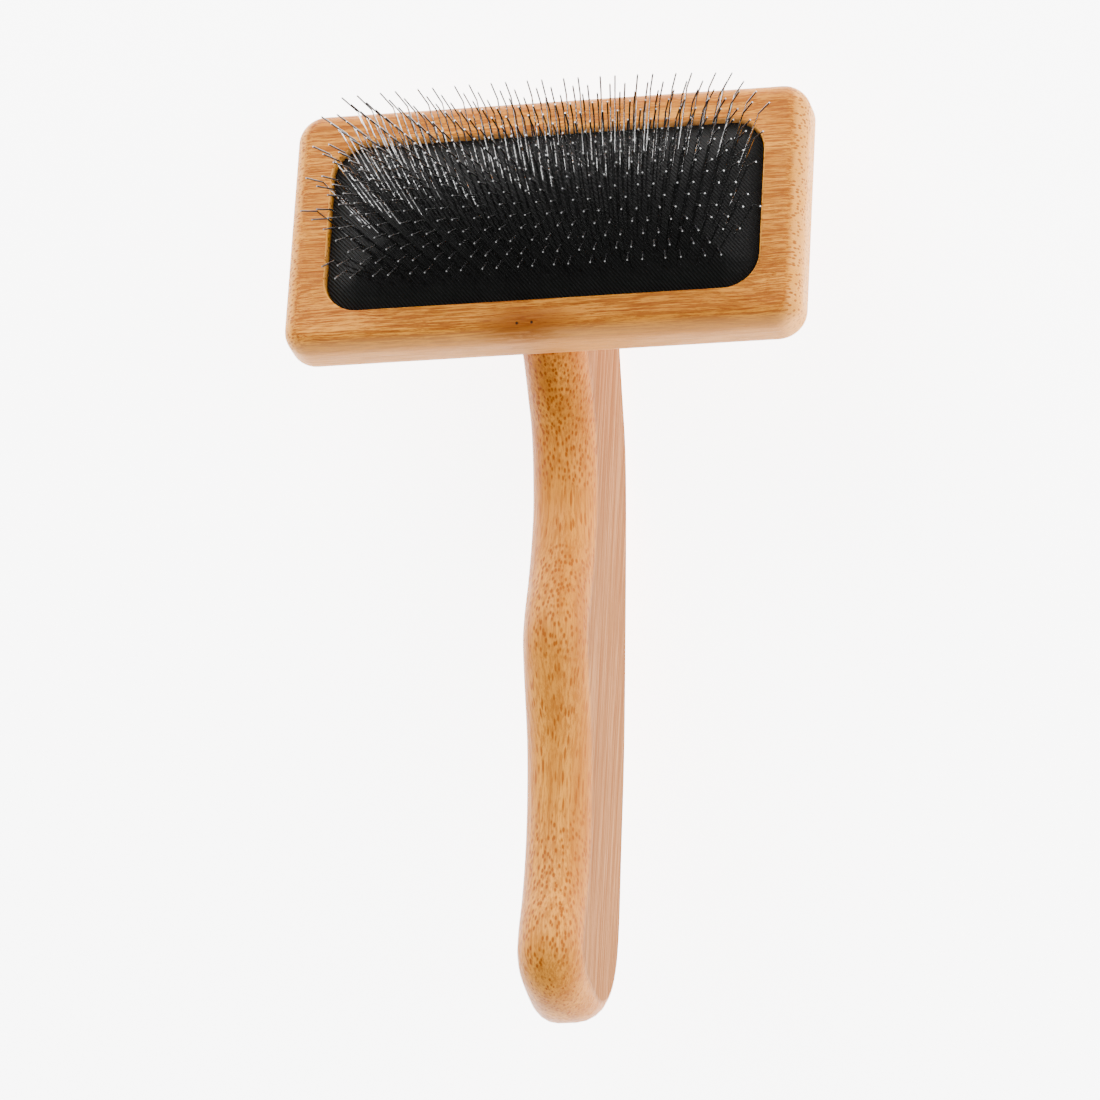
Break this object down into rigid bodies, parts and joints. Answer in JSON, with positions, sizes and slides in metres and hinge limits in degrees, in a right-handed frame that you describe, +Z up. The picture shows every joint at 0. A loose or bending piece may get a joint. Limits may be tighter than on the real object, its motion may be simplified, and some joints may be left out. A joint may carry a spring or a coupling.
{
  "type": "slicker brush",
  "caption": "Pet slicker brush: rectangular wooden head with a cushioned pad of fine bent wire pins, on a curved flat-sided wooden handle.",
  "frame": {"origin": "middle of the bounding box's base, on the table the brush lies on", "axes": "+Z up with the brush lying on its back, -Y from the head towards the butt of the handle, X across the head; x = 0 is the plane of symmetry of the wood"},
  "size_m": [0.112, 0.1967, 0.0729],
  "materials": {
    "head_wood": "satin lacquer",
    "handle_wood": "satin lacquer",
    "screw_steel": "zinc plated",
    "foam": "open cell",
    "rubber": "matt",
    "cloth": "fine twill",
    "wire": "bright"
  },
  "bodies": {
    "wood": {"head_block": "head_wood", "handle": "handle_wood", "screws": "screw_steel", "foam_cushion": "foam"},
    "pad": {"pad_rubber": "rubber", "pad_cloth": "cloth", "wire_row_01": "wire", "wire_row_02": "wire", "wire_row_03": "wire", "wire_row_04": "wire", "wire_row_05": "wire", "wire_row_06": "wire", "wire_row_07": "wire", "wire_row_08": "wire", "wire_row_09": "wire", "wire_row_10": "wire", "wire_row_11": "wire", "wire_row_12": "wire", "wire_row_13": "wire", "wire_row_14": "wire", "wire_row_15": "wire", "wire_row_16": "wire", "wire_row_17": "wire", "wire_row_18": "wire"}
  },
  "joints": [
    {"name": "pad_press", "type": "slide", "parent": "wood", "child": "pad", "axis": [0, 0.454, 0.891], "range_m": [-0.002, 0], "stiffness_N_per_m": 3000, "springref_m": 0.0004, "deforming": ["foam_cushion"]}
  ]
}
